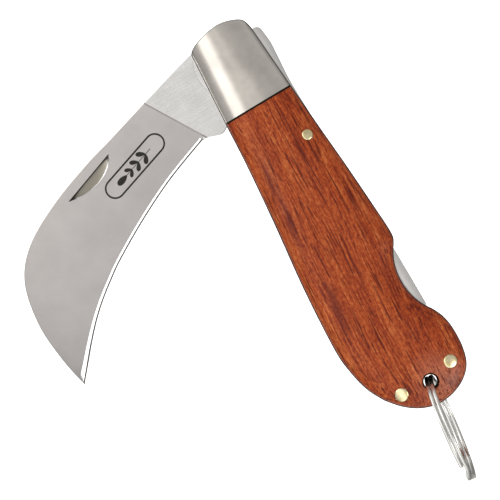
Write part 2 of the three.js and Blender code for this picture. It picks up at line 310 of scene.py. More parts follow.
def inset(loop, amount):
    """The closed loop moved inwards, without the points that come too near another stretch of it."""
    loop = np.asarray(loop, dtype=float)
    before = np.roll(loop, 1, axis=0)
    after = np.roll(loop, -1, axis=0)
    along = after - before
    along /= np.linalg.norm(along, axis=1)[:, None]
    turn = np.sum(loop[:, 0] * after[:, 1] - after[:, 0] * loop[:, 1])
    normal = np.column_stack([-along[:, 1], along[:, 0]]) * (1 if turn > 0 else -1)
    moved = loop + normal * amount
    keep = (distance_to_line(moved, loop) > amount * 0.88) & inside(moved, loop)
    return moved[keep]


def smoothstep(x):
    x = np.clip(x, 0, 1)
    return x * x * (3 - 2 * x)


def unit_along(first, last):
    """The unit vector from one point towards another."""
    step = np.array(last) - np.array(first)
    return step / np.linalg.norm(step)


def rounding_drop(distance, radius):
    """How far a rounded edge lies below its face, at a distance from the outline."""
    t = np.clip(distance / radius, 0, 1)
    return radius * (1 - np.sqrt(1 - (1 - t) ** 2))


def chamfer_drop(distance, width):
    """How far a chamfered edge lies below its face, at a distance from the outline."""
    return width * (1 - np.clip(distance / width, 0, 1))


def level(y):
    """A height field for relief that is the same everywhere."""
    return lambda points: np.full(len(points), y)


# ---- Mesh building ----

def new_object(name, vertices, faces, smooth_angle=30):
    mesh = bpy.data.meshes.new(name)
    mesh.from_pydata([tuple(v) for v in vertices], [], [tuple(f) for f in faces])
    mesh.update()
    piece = bpy.data.objects.new(name, mesh)
    bpy.context.scene.collection.objects.link(piece)
    work = bmesh.new()
    work.from_mesh(mesh)
    bmesh.ops.recalc_face_normals(work, faces=work.faces)
    work.to_mesh(mesh)
    work.free()
    mesh.shade_smooth()
    mesh.set_sharp_from_angle(angle=math.radians(smooth_angle))
    return piece


def triangulate(loops, extra_lines, extra_points):
    """Triangles inside loops[0] and outside the other loops, through the extra lines and points."""
    coords = []
    edges = []
    for line, gap in [(loop, 0) for loop in loops] + [(line, 1) for line in extra_lines]:
        start = len(coords)
        coords += [tuple(p) for p in line]
        edges += [(start + i, start + (i + 1) % len(line)) for i in range(len(line) - gap)]
    coords += [tuple(p) for p in extra_points]
    points, _, faces, _, _, _ = delaunay_2d_cdt([Vector(c) for c in coords], edges, [], 0, 1e-6)
    points = np.array([tuple(p) for p in points])
    middles = np.array([points[list(f)].mean(axis=0) for f in faces])
    keep = inside(middles, loops[0])
    for hole in loops[1:]:
        keep &= ~inside(middles, hole)
    return points, [f for f, kept in zip(faces, keep) if kept]


def relief(name, loops, near, far, points=(), lines=(), smooth_angle=30, within=None):
    """A closed piece between two height fields, near and far, that give y for an array of points."""
    flat, faces = triangulate(loops, lines, points)
    if within is not None:
        middles = np.array([flat[list(f)].mean(axis=0) for f in faces])
        faces = [f for f, kept in zip(faces, inside(middles, within)) if kept]
    used = sorted({i for f in faces for i in f})
    place = {old: new for new, old in enumerate(used)}
    flat = flat[used]
    faces = [tuple(place[i] for i in f) for f in faces]
    count = len(flat)
    vertices = np.vstack([np.column_stack([flat[:, 0], near(flat), flat[:, 1]]),
                          np.column_stack([flat[:, 0], far(flat), flat[:, 1]])]) * MM
    sides = {}
    for f in faces:
        for a, b in zip(f, f[1:] + f[:1]):
            sides[(a, b)] = sides.get((a, b), 0) + 1
    rim = [edge for edge in sides if (edge[1], edge[0]) not in sides]
    all_faces = list(faces)
    all_faces += [tuple(count + i for i in reversed(f)) for f in faces]
    all_faces += [(b, a, count + a, count + b) for a, b in rim]
    return new_object(name, vertices, all_faces, smooth_angle)


def grid_points(loop, spacing, margin, holes=()):
    """A staggered grid of points inside a loop, at least margin away from it and from the holes."""
    loop = np.asarray(loop)
    low = loop.min(axis=0)
    high = loop.max(axis=0)
    rows = []
    row_gap = spacing * 0.87
    for row, z in enumerate(np.arange(low[1], high[1], row_gap)):
        xs = np.arange(low[0] + (row % 2) * spacing / 2, high[0], spacing)
        rows.append(np.column_stack([xs, np.full(len(xs), z)]))
    found = np.vstack(rows)
    found = found[inside(found, loop)]
    keep = distance_to_line(found, loop) > margin
    for hole in holes:
        keep &= ~inside(found, hole) & (distance_to_line(found, hole) > margin * 0.6)
    return found[keep]


def plate(name, outline, holes, y_low, y_high, rounding=0.15, spacing=0.6):
    """A flat plate with a small rounding along its edges."""
    loop = resample(outline, spacing)
    rings = [inset(loop, rounding * 0.35), inset(loop, rounding)]
    hole_loops = [circle(*hole) for hole in holes]

    def drop(points):
        return rounding_drop(distance_to_line(points, loop), rounding)

    return relief(name, [loop] + hole_loops, lambda p: y_low + drop(p), lambda p: y_high - drop(p),
                  np.vstack(rings), smooth_angle=40)


def turn(piece, degrees, pivot):
    """Turns the mesh about the Y axis through pivot, the way the joints turn."""
    at = Vector((pivot[0] * MM, MIDDLE_Y * MM, pivot[1] * MM))
    rotation = Matrix.Rotation(math.radians(degrees), 4, "Y")
    piece.data.transform(Matrix.Translation(at) @ rotation @ Matrix.Translation(-at))
    piece.data.update()


# ---- Materials ----

class Nodes:
    """Short calls for building the node tree of a material or of the world."""

    def __init__(self, owner, shader="Principled BSDF", coordinates="Object"):
        self.owner = owner
        owner.use_nodes = True
        self.tree = owner.node_tree
        self.shader = self.tree.nodes[shader]
        self.place = self.add("ShaderNodeTexCoord", {}, coordinates)

    def feed(self, target, value):
        """Links an input to another node's output, or sets it to a number, a vector or a colour."""
        if isinstance(value, bpy.types.NodeSocket):
            self.tree.links.new(value, target)
        elif target.type == "RGBA":
            target.default_value = (*value, 1)
        else:
            target.default_value = value

    def add(self, kind, inputs, output=0, **settings):
        """One output of a new node. inputs holds what each of its inputs is fed with."""
        node = self.tree.nodes.new(kind)
        for key, value in settings.items():
            setattr(node, key, value)
        for socket, value in inputs.items():
            self.feed(node.inputs[socket], value)
        return node.outputs[output]

    def mapped(self, scale, turned=0, source=None):
        """Coordinates times scale, turned about Y by some degrees."""
        rotation = (0, math.radians(turned), 0)
        return self.add("ShaderNodeMapping", {0: source or self.place, "Scale": scale, "Rotation": rotation})

    def noise(self, vector, scale, detail, roughness=0.55):
        inputs = {"Vector": vector, "Scale": scale, "Detail": detail, "Roughness": roughness}
        return self.add("ShaderNodeTexNoise", inputs, "Fac")

    def math(self, operation, a, b, clamp=False):
        return self.add("ShaderNodeMath", {0: a, 1: b}, operation=operation, use_clamp=clamp)

    def weighted(self, a, share_a, b, share_b):
        """The sum of two values, each times its share."""
        return self.math("ADD", self.math("MULTIPLY", a, share_a), self.math("MULTIPLY", b, share_b))

    def ramp(self, factor, stops):
        """A colour ramp. stops are (position, colour) pairs."""
        node = self.tree.nodes.new("ShaderNodeValToRGB")
        while len(node.color_ramp.elements) < len(stops):
            node.color_ramp.elements.new(0.5)
        for element, (position, color) in zip(node.color_ramp.elements, stops):
            element.position = position
            element.color = (*color, 1)
        self.feed(node.inputs["Fac"], factor)
        return node.outputs["Color"]

    def spread(self, factor, low, high):
        """Maps 0..1 onto low..high."""
        return self.add("ShaderNodeMapRange", {"Value": factor, "To Min": low, "To Max": high})

    def mix(self, factor, a, b, blend="MIX"):
        return self.add("ShaderNodeMix", {0: factor, 6: a, 7: b}, 2, data_type="RGBA", blend_type=blend)

    def set(self, socket, value):
        """Feeds an input of the shader itself."""
        self.feed(self.shader.inputs[socket], value)

    def finish(self, base, rough, height, distance):
        """The material, with rough as (factor, lowest, highest) and a relief of distance millimetres."""
        self.set("Base Color", base)
        self.set("Roughness", self.spread(*rough))
        self.set("Normal", self.add("ShaderNodeBump", {"Height": height, "Distance": distance * MM}))
        return self.owner


def brushed_steel(name, color, roughness, line_turn, line_depth=0.004, tint=0.06, line_count=9000,
                  grind=None):
    """Ground steel: fine lines across the piece, cloudy roughness and a slight change of tone.

    grind is (x, z, near, far): painted light, the tone rises a little between two distances from a point,
    standing in for light on a hollow grind.
    """
    n = Nodes(bpy.data.materials.new(name))
    n.set("Metallic", 1.0)
    lines = n.noise(n.mapped((line_count / 30, 300, line_count), line_turn), 1.0, 3.0, 0.6)
    fine = n.noise(n.mapped((1500, 1500, 30000), line_turn), 1.0, 2.0, 0.6)
    clouds = n.noise(n.place, 140.0, 3.0)
    both = n.weighted(lines, 0.6, fine, 0.4)
    dark = tuple(c * (1 - tint) for c in color)
    light = tuple(min(1, c * (1 + tint)) for c in color)
    base = n.ramp(n.weighted(both, 0.5, clouds, 0.5), [(0.35, dark), (0.65, light)])
    # Painted light: the tone is a little darker near the grind's point.
    if grind:
        x, z, near, far = grind
        inputs = {0: n.place, 1: (x * MM, MIDDLE_Y * MM, z * MM)}
        away = n.add("ShaderNodeVectorMath", inputs, "Value", operation="DISTANCE")
        rise = n.add("ShaderNodeMapRange", {"Value": away, "From Min": near * MM, "From Max": far * MM})
        base = n.mix(1.0, base, n.ramp(rise, [(0, (0.88, 0.885, 0.89)), (1, WHITE)]), "MULTIPLY")
    rough = (n.weighted(lines, 0.5, clouds, 0.5), roughness - 0.07, roughness + 0.09)
    return n.finish(base, rough, both, line_depth)


def nickel(name, color, roughness):
    """Polished white metal with faint lengthwise polishing lines and tiny scratches."""
    n = Nodes(bpy.data.materials.new(name))
    n.set("Metallic", 1.0)
    lines = n.noise(n.mapped((5000, 5000, 260)), 1.0, 3.0, 0.6)
    clouds = n.noise(n.place, 210.0, 4.0)
    dark = tuple(c * 0.87 for c in color)
    rough = (n.weighted(lines, 0.4, clouds, 0.6), roughness - 0.05, roughness + 0.07)
    base = n.ramp(clouds, [(0.35, dark), (0.62, color)])
    return n.finish(base, rough, n.weighted(lines, 0.3, clouds, 0.7), 0.003)


def wood_heart(n):
    """1 inside the darker heartwood figures of the handle and 0 outside them, with soft edges."""
    total = None
    for middle, half, lean in WOOD_HEARTS:
        one = soft_ellipse(n, middle, half, lean)
        total = one if total is None else n.math("MAXIMUM", total, one)
    return total


def soft_ellipse(n, middle, half, lean):
    """1 in the middle of an ellipse on the handle's face and 0 outside it, with a soft edge."""
    inputs = {"Vector": n.place, "Location": (middle[0] * MM, MIDDLE_Y * MM, middle[1] * MM),
              "Rotation": (0, math.radians(lean), 0), "Scale": (half[0] * MM, 1.0, half[1] * MM)}
    mapped = n.add("ShaderNodeMapping", inputs, vector_type="TEXTURE")
    length = n.add("ShaderNodeVectorMath", {0: mapped}, "Value", operation="LENGTH")
    return n.ramp(length, [(0.35, WHITE), (1.0, BLACK)])


def rosewood(name):
    """Oiled rosewood: soft bands, dark streaks along the grain, dark heartwood and a paler butt from a
    painted sheen.
    """
    n = Nodes(bpy.data.materials.new(name))
    drift = n.noise(n.mapped((60, 60, 22)), 1.0, 2.0)
    push = n.add("ShaderNodeCombineXYZ", {"X": n.math("MULTIPLY", n.math("SUBTRACT", drift, 0.5), 0.004)})
    place = n.add("ShaderNodeVectorMath", {0: n.mapped((1, 1, 1), -4), 1: push}, operation="ADD")
    bands = n.noise(n.mapped((420, 420, 22), 0, place), 1.0, 3.0, 0.55)
    fibres = n.noise(n.mapped((2600, 2600, 150), 0, place), 1.0, 4.0, 0.65)
    mottle = n.noise(n.mapped((2200, 2200, 1300), 0, place), 1.0, 3.0, 0.7)
    patches = n.noise(n.mapped((420, 420, 70), 0, place), 1.0, 3.0, 0.6)
    streaks = n.noise(n.mapped((2100, 2100, 90), 0, place), 1.0, 2.0, 0.5)
    short_streaks = n.noise(n.mapped((3100, 3100, 330), 2, place), 1.0, 2.0, 0.5)
    tone = n.math("ADD", n.math("MULTIPLY", bands, 0.27), n.weighted(fibres, 0.37, mottle, 0.36))
    base = n.ramp(tone, WOOD_TONES)
    heart = n.math("MULTIPLY", wood_heart(n), n.ramp(patches, [(0.38, BLACK), (0.60, WHITE)]))
    base = n.mix(n.math("MULTIPLY", heart, 0.95), base, WOOD_HEART, "MULTIPLY")
    patchy = n.ramp(mottle, [(0.3, (0.45, 0.45, 0.45)), (0.62, WHITE)])
    # Painted sheen near the butt, made patchy by the mottle.
    sheen_patch = n.math("MULTIPLY", soft_ellipse(n, *WOOD_SHEEN_PLACE), patchy)
    base = n.mix(n.math("MULTIPLY", sheen_patch, 0.42), base, WOOD_SHEEN)
    long_mask = n.math("MULTIPLY", n.ramp(streaks, [(0.365, WHITE), (0.435, BLACK)]), 0.8)
    short_mask = n.math("MULTIPLY", n.ramp(short_streaks, [(0.345, WHITE), (0.42, BLACK)]), 0.6)
    dark = n.math("ADD", long_mask, short_mask, clamp=True)
    base = n.mix(dark, base, WOOD_STREAK)
    n.set("Specular IOR Level", 0.2)
    height = n.math("SUBTRACT", n.math("MULTIPLY", fibres, 0.5), dark)
    return n.finish(base, (fibres, 0.44, 0.26), height, 0.018)


def brass(name):
    """Brass pin heads, turned and lightly tarnished."""
    n = Nodes(bpy.data.materials.new(name))
    n.set("Metallic", 1.0)
    clouds = n.noise(n.place, 900.0, 4.0)
    specks = n.noise(n.place, 3200.0, 3.0)
    base = n.ramp(clouds, [(0.3, (0.80, 0.66, 0.33)), (0.7, (1.0, 0.92, 0.64))])
    return n.finish(base, (specks, 0.2, 0.38), specks, 0.01)


def dull(name, dark, light, scale, detail, rough, specular, distance):
    """A dull dark surface with fine specks, for etched lines and for painted shade in gaps, seams and the
    lanyard hole.
    """
    n = Nodes(bpy.data.materials.new(name))
    specks = n.noise(n.place, scale, detail)
    n.set("Specular IOR Level", specular)
    return n.finish(n.ramp(specks, [(0.35, dark), (0.7, light)]), (specks, *rough), specks, distance)


def finish_piece(piece, material, slot, body, *nodes):
    """Gives a piece its material and body, and hides the CAD nodes that it stands for. The slot is not used.
    """
    piece.data.materials.clear()
    piece.data.materials.append(material)
    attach(piece, body)
    if nodes:
        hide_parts(*nodes)


# The grind entry paints a light gradient on the blade: darker within 54 mm of a point, lighter past 72 mm.
BLADE_STEEL = brushed_steel("blade_steel", (0.70, 0.665, 0.65), 0.30, BLADE_ANGLE + 12,
                            grind=(-12.9, -66.2, 54, 72))
TANG_STEEL = brushed_steel("tang_steel", (0.97, 0.95, 0.92), 0.22, BLADE_ANGLE + 80, 0.012, 0.13,
                           line_count=2600)
BEVEL_STEEL = brushed_steel("bevel_steel", (0.57, 0.565, 0.56), 0.2, BLADE_ANGLE + 90)
SPRING_STEEL = brushed_steel("spring_steel", (0.78, 0.765, 0.75), 0.30, 0)
LINER_STEEL = brushed_steel("liner_steel", (0.70, 0.69, 0.68), 0.34, 90)
NICKEL = nickel("nickel_silver", (0.80, 0.755, 0.70), 0.17)
RING_NICKEL = nickel("ring_nickel", (0.76, 0.75, 0.72), 0.2)
ROSEWOOD = rosewood("rosewood")
BRASS = brass("brass")
ETCHED = dull("etched_mark", (0.008, 0.007, 0.006), (0.035, 0.03, 0.026), 5200, 3, (0.5, 0.75), 0.3, 0.01)
# Near-black painted shade for the lanyard bore, the joint gap and the seams round the liners.
PAINTED_SHADE = dull("painted_shade", (0.006, 0.005, 0.004), (0.022, 0.016, 0.011), 2600, 4, (0.75, 0.95), 0.1, 0.02)
# Darker steel on the nail nick's floor: painted shade in the recess.
NICK_SHADE_STEEL = brushed_steel("nick_shade_steel", (0.27, 0.25, 0.21), 0.38, BLADE_ANGLE)
# Near-black steel: a painted dark reflection along the very edge, and painted shade on the nail nick's wall.
PAINTED_DARK_STEEL = brushed_steel("painted_dark_steel", (0.085, 0.083, 0.08), 0.4, BLADE_ANGLE)


# ---- Handle ----

def clip_loop(loop, z_cut, keep_above):
    """The part of a closed loop on one side of a level line."""
    result = []
    for a, b in zip(loop, np.roll(loop, -1, axis=0)):
        a_in = (a[1] >= z_cut) == keep_above
        b_in = (b[1] >= z_cut) == keep_above
        if a_in:
            result.append(tuple(a))
        if a_in != b_in:
            t = (z_cut - a[1]) / (b[1] - a[1])
            result.append((a[0] + t * (b[0] - a[0]), z_cut))
    return result


def shell_height(points):
    """How far the outer face of a bolster or scale stands from the middle plane."""
    points = np.asarray(points, dtype=float)
    belly, back = (distance_to_line(points, line, False) for line in BOLSTER_SIDES)
    whole = distance_to_line(points, HANDLE)
    edge = np.where(points[:, 1] > JOINT_Z, np.minimum(belly, back), whole)
    edge = np.maximum(edge - SHELL_INSET, 0)
    across = 1 - np.clip(edge / SHELL_HALF_SPAN, 0, 1)
    barrel = np.sqrt(np.clip(1 - across ** SHELL_SQUARENESS, 0, 1))
    foot = LINER_FACE + SHELL_STRAIGHT
    return foot + (HALF_WIDTH - foot) * barrel


def shell_piece(name, outline, holes, side):
    """A bolster or scale: flat inside, rounded and crowned outside."""
    loop = resample(outline, OUTLINE_SPACING)
    hole_loops = [circle(*hole) for hole in holes]
    insets = (0.05, 0.15, 0.32, 0.58, 0.92, 1.34, 1.85, 2.5)
    rings = np.vstack([inset(HANDLE_LOOP, SHELL_INSET + d) for d in insets])
    rings = rings[inside(rings, loop)]
    rings = rings[distance_to_line(rings, loop) > 0.04]
    steps = (0.08, 0.2, 0.38, 0.6)
    rims = [np.array(circle(centre, radius + step)) for centre, radius in holes for step in steps]
    filling = grid_points(loop, 0.6, 0.3, hole_loops)
    filling = filling[distance_to_line(filling, HANDLE_LOOP) > 2.9]
    for centre, radius in holes:
        filling = filling[np.linalg.norm(filling - np.array(centre), axis=1) > radius + 0.8]
        rings = rings[np.linalg.norm(rings - np.array(centre), axis=1) > radius + 0.7]

    def outer(points):
        height = shell_height(points)
        for centre, radius in holes:
            if centre == LANYARD_HOLE:
                gap = np.linalg.norm(points - np.array(centre), axis=1) - radius
                height = height - rounding_drop(gap, HOLE_ROUNDING)
        return MIDDLE_Y + side * height

    inner = level(MIDDLE_Y + side * SHELL_FACE)
    points = np.vstack([rings, filling] + rims)
    return relief(name, [loop] + hole_loops, outer, inner, points, smooth_angle=34)


def make_handle():
    outline = inset(HANDLE_LOOP, SHELL_INSET)
    bolster_outline = clip_loop(outline, JOINT_Z + JOINT_GAP / 2, True)
    scale_outline = clip_loop(outline, JOINT_Z - JOINT_GAP / 2, False)
    pin_holes = [(centre, radius + PIN_CLEARANCE) for _, centre, radius in PINS]
    scale_holes = pin_holes + [(LANYARD_HOLE, LANYARD_RADIUS)]
    liner_holes = pin_holes + [(LANYARD_HOLE, INNER_LANYARD_RADIUS), (PIVOT, PIVOT_HOLE_RADIUS)]
    for word, side in (("front", -1), ("rear", 1)):
        bolster = shell_piece(f"{word}_bolster_fine", bolster_outline, [], side)
        finish_piece(bolster, NICKEL, "nickel_silver", "handle", f"{word}_bolster")
        scale = shell_piece(f"{word}_scale_fine", scale_outline, scale_holes, side)
        finish_piece(scale, ROSEWOOD, "rosewood", "handle", f"{word}_scale")
        darken_bore(scale, LANYARD_RADIUS + 0.03)
        low, high = sorted((MIDDLE_Y + side * SLOT_HALF, MIDDLE_Y + side * LINER_FACE))
        liner = plate(f"{word}_liner_fine", HANDLE, liner_holes, low, high, 0.14)
        finish_piece(liner, LINER_STEEL, "spring_steel", "handle", f"{word}_liner")
        darken_bore(liner, LANYARD_RADIUS + 0.05)
        glue_and_shade_line(word, side, outline)
        seam_shade_line(word, side)
        hole_shade(word, side)


def darken_bore(piece, reach):
    """Painted shade: near-black on the wall of the lanyard hole, and on the faces within reach of its
    middle.
    """
    mesh = piece.data
    mesh.materials.append(PAINTED_SHADE)
    for polygon in mesh.polygons:
        x = polygon.center.x / MM - LANYARD_HOLE[0]
        z = polygon.center.z / MM - LANYARD_HOLE[1]
        if math.hypot(x, z) < reach:
            polygon.material_index = 1


def glue_and_shade_line(word, side, outline):
    """Dark glue in the joint between bolster and scale, a little below their faces; its near-black is
    painted shade in the gap.
    """
    half = JOINT_GAP / 2 - 0.01
    strip = clip_loop(clip_loop(outline, JOINT_Z + half, False), JOINT_Z - half, True)
    xs = sorted(x for x, z in strip)
    across = np.linspace(xs[0] + 0.1, xs[-1] - 0.1, 60)
    loop = [(x, JOINT_Z - half) for x in across] + [(x, JOINT_Z + half) for x in across[::-1]]
    glue = relief(f"{word}_glue_and_shade_line", [loop], lambda p: MIDDLE_Y + side * (shell_height(p) - 0.2),
                  level(MIDDLE_Y + side * (SHELL_FACE + 0.02)))
    finish_piece(glue, PAINTED_SHADE, "rosewood", "handle")


def shade_band(name, loops, side, proud):
    """A thin near-black band of painted shade between two loops, standing proud of the liner's outer face.
    """
    band = relief(name, loops, level(MIDDLE_Y + side * (LINER_FACE + proud)),
                  level(MIDDLE_Y + side * (LINER_FACE - 0.1)))
    finish_piece(band, PAINTED_SHADE, "rosewood", "handle")


def seam_shade_line(word, side):
    """Painted shade: a near-black band in the step where the liner shows round the bolster and scale."""
    loops = [inset(HANDLE_LOOP, 0.06), inset(HANDLE_LOOP, SHELL_INSET + 0.05)]
    shade_band(f"{word}_seam_shade_line", loops, side, 0.03)


def hole_shade(word, side):
    """Painted shade: a near-black band in the step inside the lanyard hole."""
    loops = [circle(LANYARD_HOLE, radius + 0.02) for radius in (LANYARD_RADIUS, INNER_LANYARD_RADIUS)]
    shade_band(f"{word}_hole_shade", loops, side, 0.05)


def make_pin(name, centre, radius):
    """A brass pin right through the handle, its domed heads following the wood."""
    loop = circle(centre, radius, 36)
    inner_rings = [np.array(circle(centre, radius * share, 36)) for share in (0.93, 0.84, 0.7, 0.5, 0.25)]

    def half(points):
        share = np.linalg.norm(points - np.array(centre), axis=1) / radius
        rim_drop = 0.1 * np.clip(share * 10 - 9, 0, 1)
        return shell_height(points) + PIN_PROUD - PIN_DOME * share**2 - rim_drop

    pin = relief(f"{name}_fine", [loop], lambda p: MIDDLE_Y - half(p), lambda p: MIDDLE_Y + half(p),
                 np.vstack(inner_rings + [np.array([centre])]), smooth_angle=50)
    finish_piece(pin, BRASS, "brass", "handle", name)


def make_butt_spacer():
    """Filler between the liners at the butt, flush with them all round the end."""
    region = arc((0, 0), 84.6, 258, 272, 20)
    region += spline_through([region[-1], (4.0, -88.0), (5.4, -90.2), (8.2, -91.2)], 8)
    region += [(8.2, -91.2), (9.5, -96), (-20, -96)]
    holes = [circle(BELLY_REAR_PIN, REAR_PIN_RADIUS + PIN_CLEARANCE),
             circle(LANYARD_HOLE, INNER_LANYARD_RADIUS)]
    top = resample(region[:-3], OUTLINE_SPACING, closed=False)
    spacer = relief("butt_spacer_fine", [HANDLE_LOOP] + holes, level(MIDDLE_Y - FILLER_HALF),
                    level(MIDDLE_Y + FILLER_HALF), grid_points(HANDLE_LOOP, 0.9, 0.4, holes),
                    [top + region[-3:] + [region[0]]], 40, region)
    finish_piece(spacer, LINER_STEEL, "spring_steel", "handle", "butt_spacer")
    darken_bore(spacer, LANYARD_RADIUS + 0.05)


# ---- Lock bar and its spring ----

def make_lock_bar():
    outline = [(4.3, 1.2), (4.3, 3.9), (7.0, 3.9)]
    outline += quadratic((7.0, 3.9), (8.15, 3.7), (8.25, 2.2), 8)
    outline += spline_through([(8.25, 2.2), (8.68, -1), (8.6, -5), (8.5, -12), (9.3, -24), (10.1, -35),
                               (10.8, -46), (11.5, -58), (12.1, -72)], 8)[1:]
    outline += [(12.1, -72)] + quadratic((12.1, -72), (12.0, -73.4), (10.9, -73.5), 8)
    outline += [(9.4, -73.2)]
    outline += spline_through([(9.4, -73.2), (8.9, -66), (8.2, -55), (7.6, -44), (7.2, -34)], 8)[1:]
    outline += [(7.2, -34)] + quadratic((7.2, -34), (6.6, -29), (5.2, -26.9), 8)
    heel = arc(LOCK_BAR_PIN, 2.8, 253, 115, 16)
    outline += heel
    outline += spline_through([heel[-1], (6.3, -19), (6.35, -14), (6.3, -8), (5.8, -3)], 8)[1:]
    outline += [(5.8, -3), (5.8, 0.6)]
    hole = (LOCK_BAR_PIN, SMALL_PIN_RADIUS + SPRING_CLEARANCE)
    bar = plate("lock_bar_fine", outline, [hole], MIDDLE_Y - TANG_HALF, MIDDLE_Y + TANG_HALF, 0.22, 0.4)
    turn(bar, LOCK_BAR_LIFT, LOCK_BAR_PIN)
    finish_piece(bar, SPRING_STEEL, "spring_steel", "lock_bar", "lock_bar")


def make_lock_spring():
    """Leaf spring: an eye round the back rear pin, and a leaf along the lock bar's tail."""
    outline = spline_through([(9.9, -85.6), (8.9, -81), (7.4, -76), (6.4, -71), (6.15, -67)])
    outline += [(6.15, -67), (5.15, -66.9)]
    outline += spline_through([(5.15, -66.9), (5.2, -71), (5.9, -76), (6.9, -81), (6.6, -85.6)])[1:]
    outline += arc(BACK_REAR_PIN, 3.0, 122, 394, 30)
    hole = (BACK_REAR_PIN, REAR_PIN_RADIUS + SPRING_CLEARANCE)
    spring = plate("lock_spring_fine", outline, [hole], MIDDLE_Y - FILLER_HALF, MIDDLE_Y + FILLER_HALF,
                   0.12, 0.4)
    spring.data.materials.append(SPRING_STEEL)
    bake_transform(spring)
    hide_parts("lock_spring")


# ---- Blade ----

def blade_outline():
    reach = math.degrees(math.acos(NOTCH_FLOOR / TANG_RADIUS))
    notch_angle = math.degrees(math.asin(NOTCH_LOW / TANG_RADIUS))
    outline = spline_through(SPINE)
    outline += spline_through(EDGE)
    outline += [EDGE[-1]]
    outline += spline_through([(-9.1, 16.9), (-10.1, 15.5), (-10.9, 13.7), (-10.6, 12.1), (-9.7, 11.0)], 8)
    outline += [(-9.7, 11.0)]
    start = math.radians(KICK_ANGLE - reach)
    outline.append((TANG_RADIUS * math.cos(start), TANG_RADIUS * math.sin(start)))
    outline += arc(PIVOT, TANG_RADIUS, KICK_ANGLE + reach, 360 + notch_angle, 40)
    outline += [(NOTCH_FLOOR, NOTCH_LOW), (NOTCH_FLOOR, SPINE[0][1])]
    return outline


def offset_line(line, amounts):
    """An open polyline moved sideways, to its left, by an amount of its own at each point."""
    line = np.asarray(line, dtype=float)
    along = np.gradient(line, axis=0)
    along /= np.linalg.norm(along, axis=1)[:, None]
    return line + np.column_stack([-along[:, 1], along[:, 0]]) * np.asarray(amounts)[:, None]


def past_plunge(points):
    """Distance past the slanted line where the grind starts, towards the tip."""
    along = unit_along(*PLUNGE)
    offset = np.asarray(points) - np.array(PLUNGE[0])
    return along[1] * offset[:, 0] - along[0] * offset[:, 1]


def blade_height(points, side):
    """How far the blade's face stands from the middle plane. side is -1 at the front."""
    points = np.asarray(points, dtype=float)
    to_edge = distance_to_line(points, BLADE_EDGE, False)
    to_spine = distance_to_line(points, BLADE_SPINE, False)
    share = to_spine / np.maximum(to_edge + to_spine, 1e-6)
    body = SPINE_HALF - (SPINE_HALF - BEVEL_HALF) * share**0.85
    width = bevel_width(points)
    body = EDGE_HALF + (body - EDGE_HALF) * np.clip(to_edge / width, 0, 1)
    body -= chamfer_drop(to_spine, SPINE_CHAMFER)
    ground = smoothstep(past_plunge(points) / PLUNGE_WIDTH)
    tang = TANG_HALF - chamfer_drop(distance_to_line(points, BLADE_LOOP), TANG_CHAMFER)
    from_pivot = np.linalg.norm(points, axis=1)
    tang -= WEAR_DEPTH * np.exp(-((from_pivot - WEAR_RADIUS) / WEAR_WIDTH) ** 2)
    height = tang + (body - tang) * ground
    if side < 0:
        to_wall = distance_to_line(points, NICK_WALL, False)
        to_curve = distance_to_line(points, NICK_CURVE, False)
        slope = to_curve / np.maximum(to_wall + to_curve, 1e-6)
        depth = NICK_DEPTH * slope**0.8 * np.clip(to_wall / NICK_WALL_WIDTH, 0, 1)
        height = height - np.where(inside(points, NICK_LOOP), depth, 0)
    return height


def bevel_width(points):
    """Width of the sharpened bevel, which is widest at the tip."""
    from_tip = np.linalg.norm(points - np.array(EDGE[0]), axis=1)
    return BEVEL_WIDTH + BEVEL_TIP_EXTRA * np.exp(-(from_tip / BEVEL_TIP_REACH) ** 1.5)


NICK_WALL = [(4.3, 36.2), (2.7, 50.9)]
NICK_CURVE = spline_through([NICK_WALL[1], (1.1, 46.6), (1.0, 42), (2.3, 38.3), NICK_WALL[0]])
NICK_CURVE += [NICK_WALL[0]]
NICK_LOOP = [NICK_WALL[0]] + NICK_CURVE[:-1]
BLADE_EDGE = resample(spline_through(EDGE) + [EDGE[-1]], OUTLINE_SPACING, closed=False)
BLADE_SPINE = resample(spline_through(SPINE) + [SPINE[-1]], OUTLINE_SPACING, closed=False)
BLADE_LOOP = resample(blade_outline(), OUTLINE_SPACING)


def blade_lines():
    """Lines that the blade's mesh has to follow: bevel, edge line, spine chamfer, plunge and nail nick."""
    edge = np.array(BLADE_EDGE)
    spine_crease = offset_line(BLADE_SPINE, np.full(len(BLADE_SPINE), SPINE_CHAMFER))
    lines = [offset_line(edge, bevel_width(edge)), offset_line(edge, np.full(len(edge), EDGE_LINE)),
             spine_crease[inside(spine_crease, BLADE_LOOP)]]
    along = unit_along(*PLUNGE)
    across = np.array([along[1], -along[0]])
    for step in (0, 0.09, 0.17, 0.25, PLUNGE_WIDTH):
        first = np.array(PLUNGE[0]) - along * 3 + across * step
        last = np.array(PLUNGE[1]) + along * 3 + across * step
        lines.append([tuple(first + (last - first) * t) for t in np.linspace(0, 1, 40)])
    wall = resample(NICK_WALL, 0.4, closed=False)
    wall_foot = [(x - NICK_WALL_WIDTH, z) for x, z in wall[2:-2]]
    return lines + [wall, resample(NICK_CURVE, 0.4, closed=False), wall_foot]


def blade_points(hole, bevel):
    """Points between the lines, closer together in the nail nick and along the worn ring."""
    filling = grid_points(BLADE_LOOP, 0.62, 0.3, [hole])
    filling = filling[distance_to_line(filling, bevel, False) > 0.25]
    filling = filling[np.abs(np.linalg.norm(filling, axis=1) - WEAR_RADIUS) > 0.45]
    filling = filling[~inside(filling, NICK_LOOP)]
    tang_ring = inset(BLADE_LOOP, TANG_CHAMFER)
    tang_ring = tang_ring[past_plunge(tang_ring) < -0.05]
    nick_fine = grid_points(NICK_LOOP, 0.2, 0.1)
    steps = (-0.3, -0.2, -0.1, 0, 0.1, 0.2, 0.3)
    wear = np.vstack([np.array(circle(PIVOT, WEAR_RADIUS + step, 160)) for step in steps])
    wear = wear[inside(wear, BLADE_LOOP) & (distance_to_line(wear, BLADE_LOOP) > 0.3)]
    return np.vstack([filling, tang_ring, nick_fine, wear])


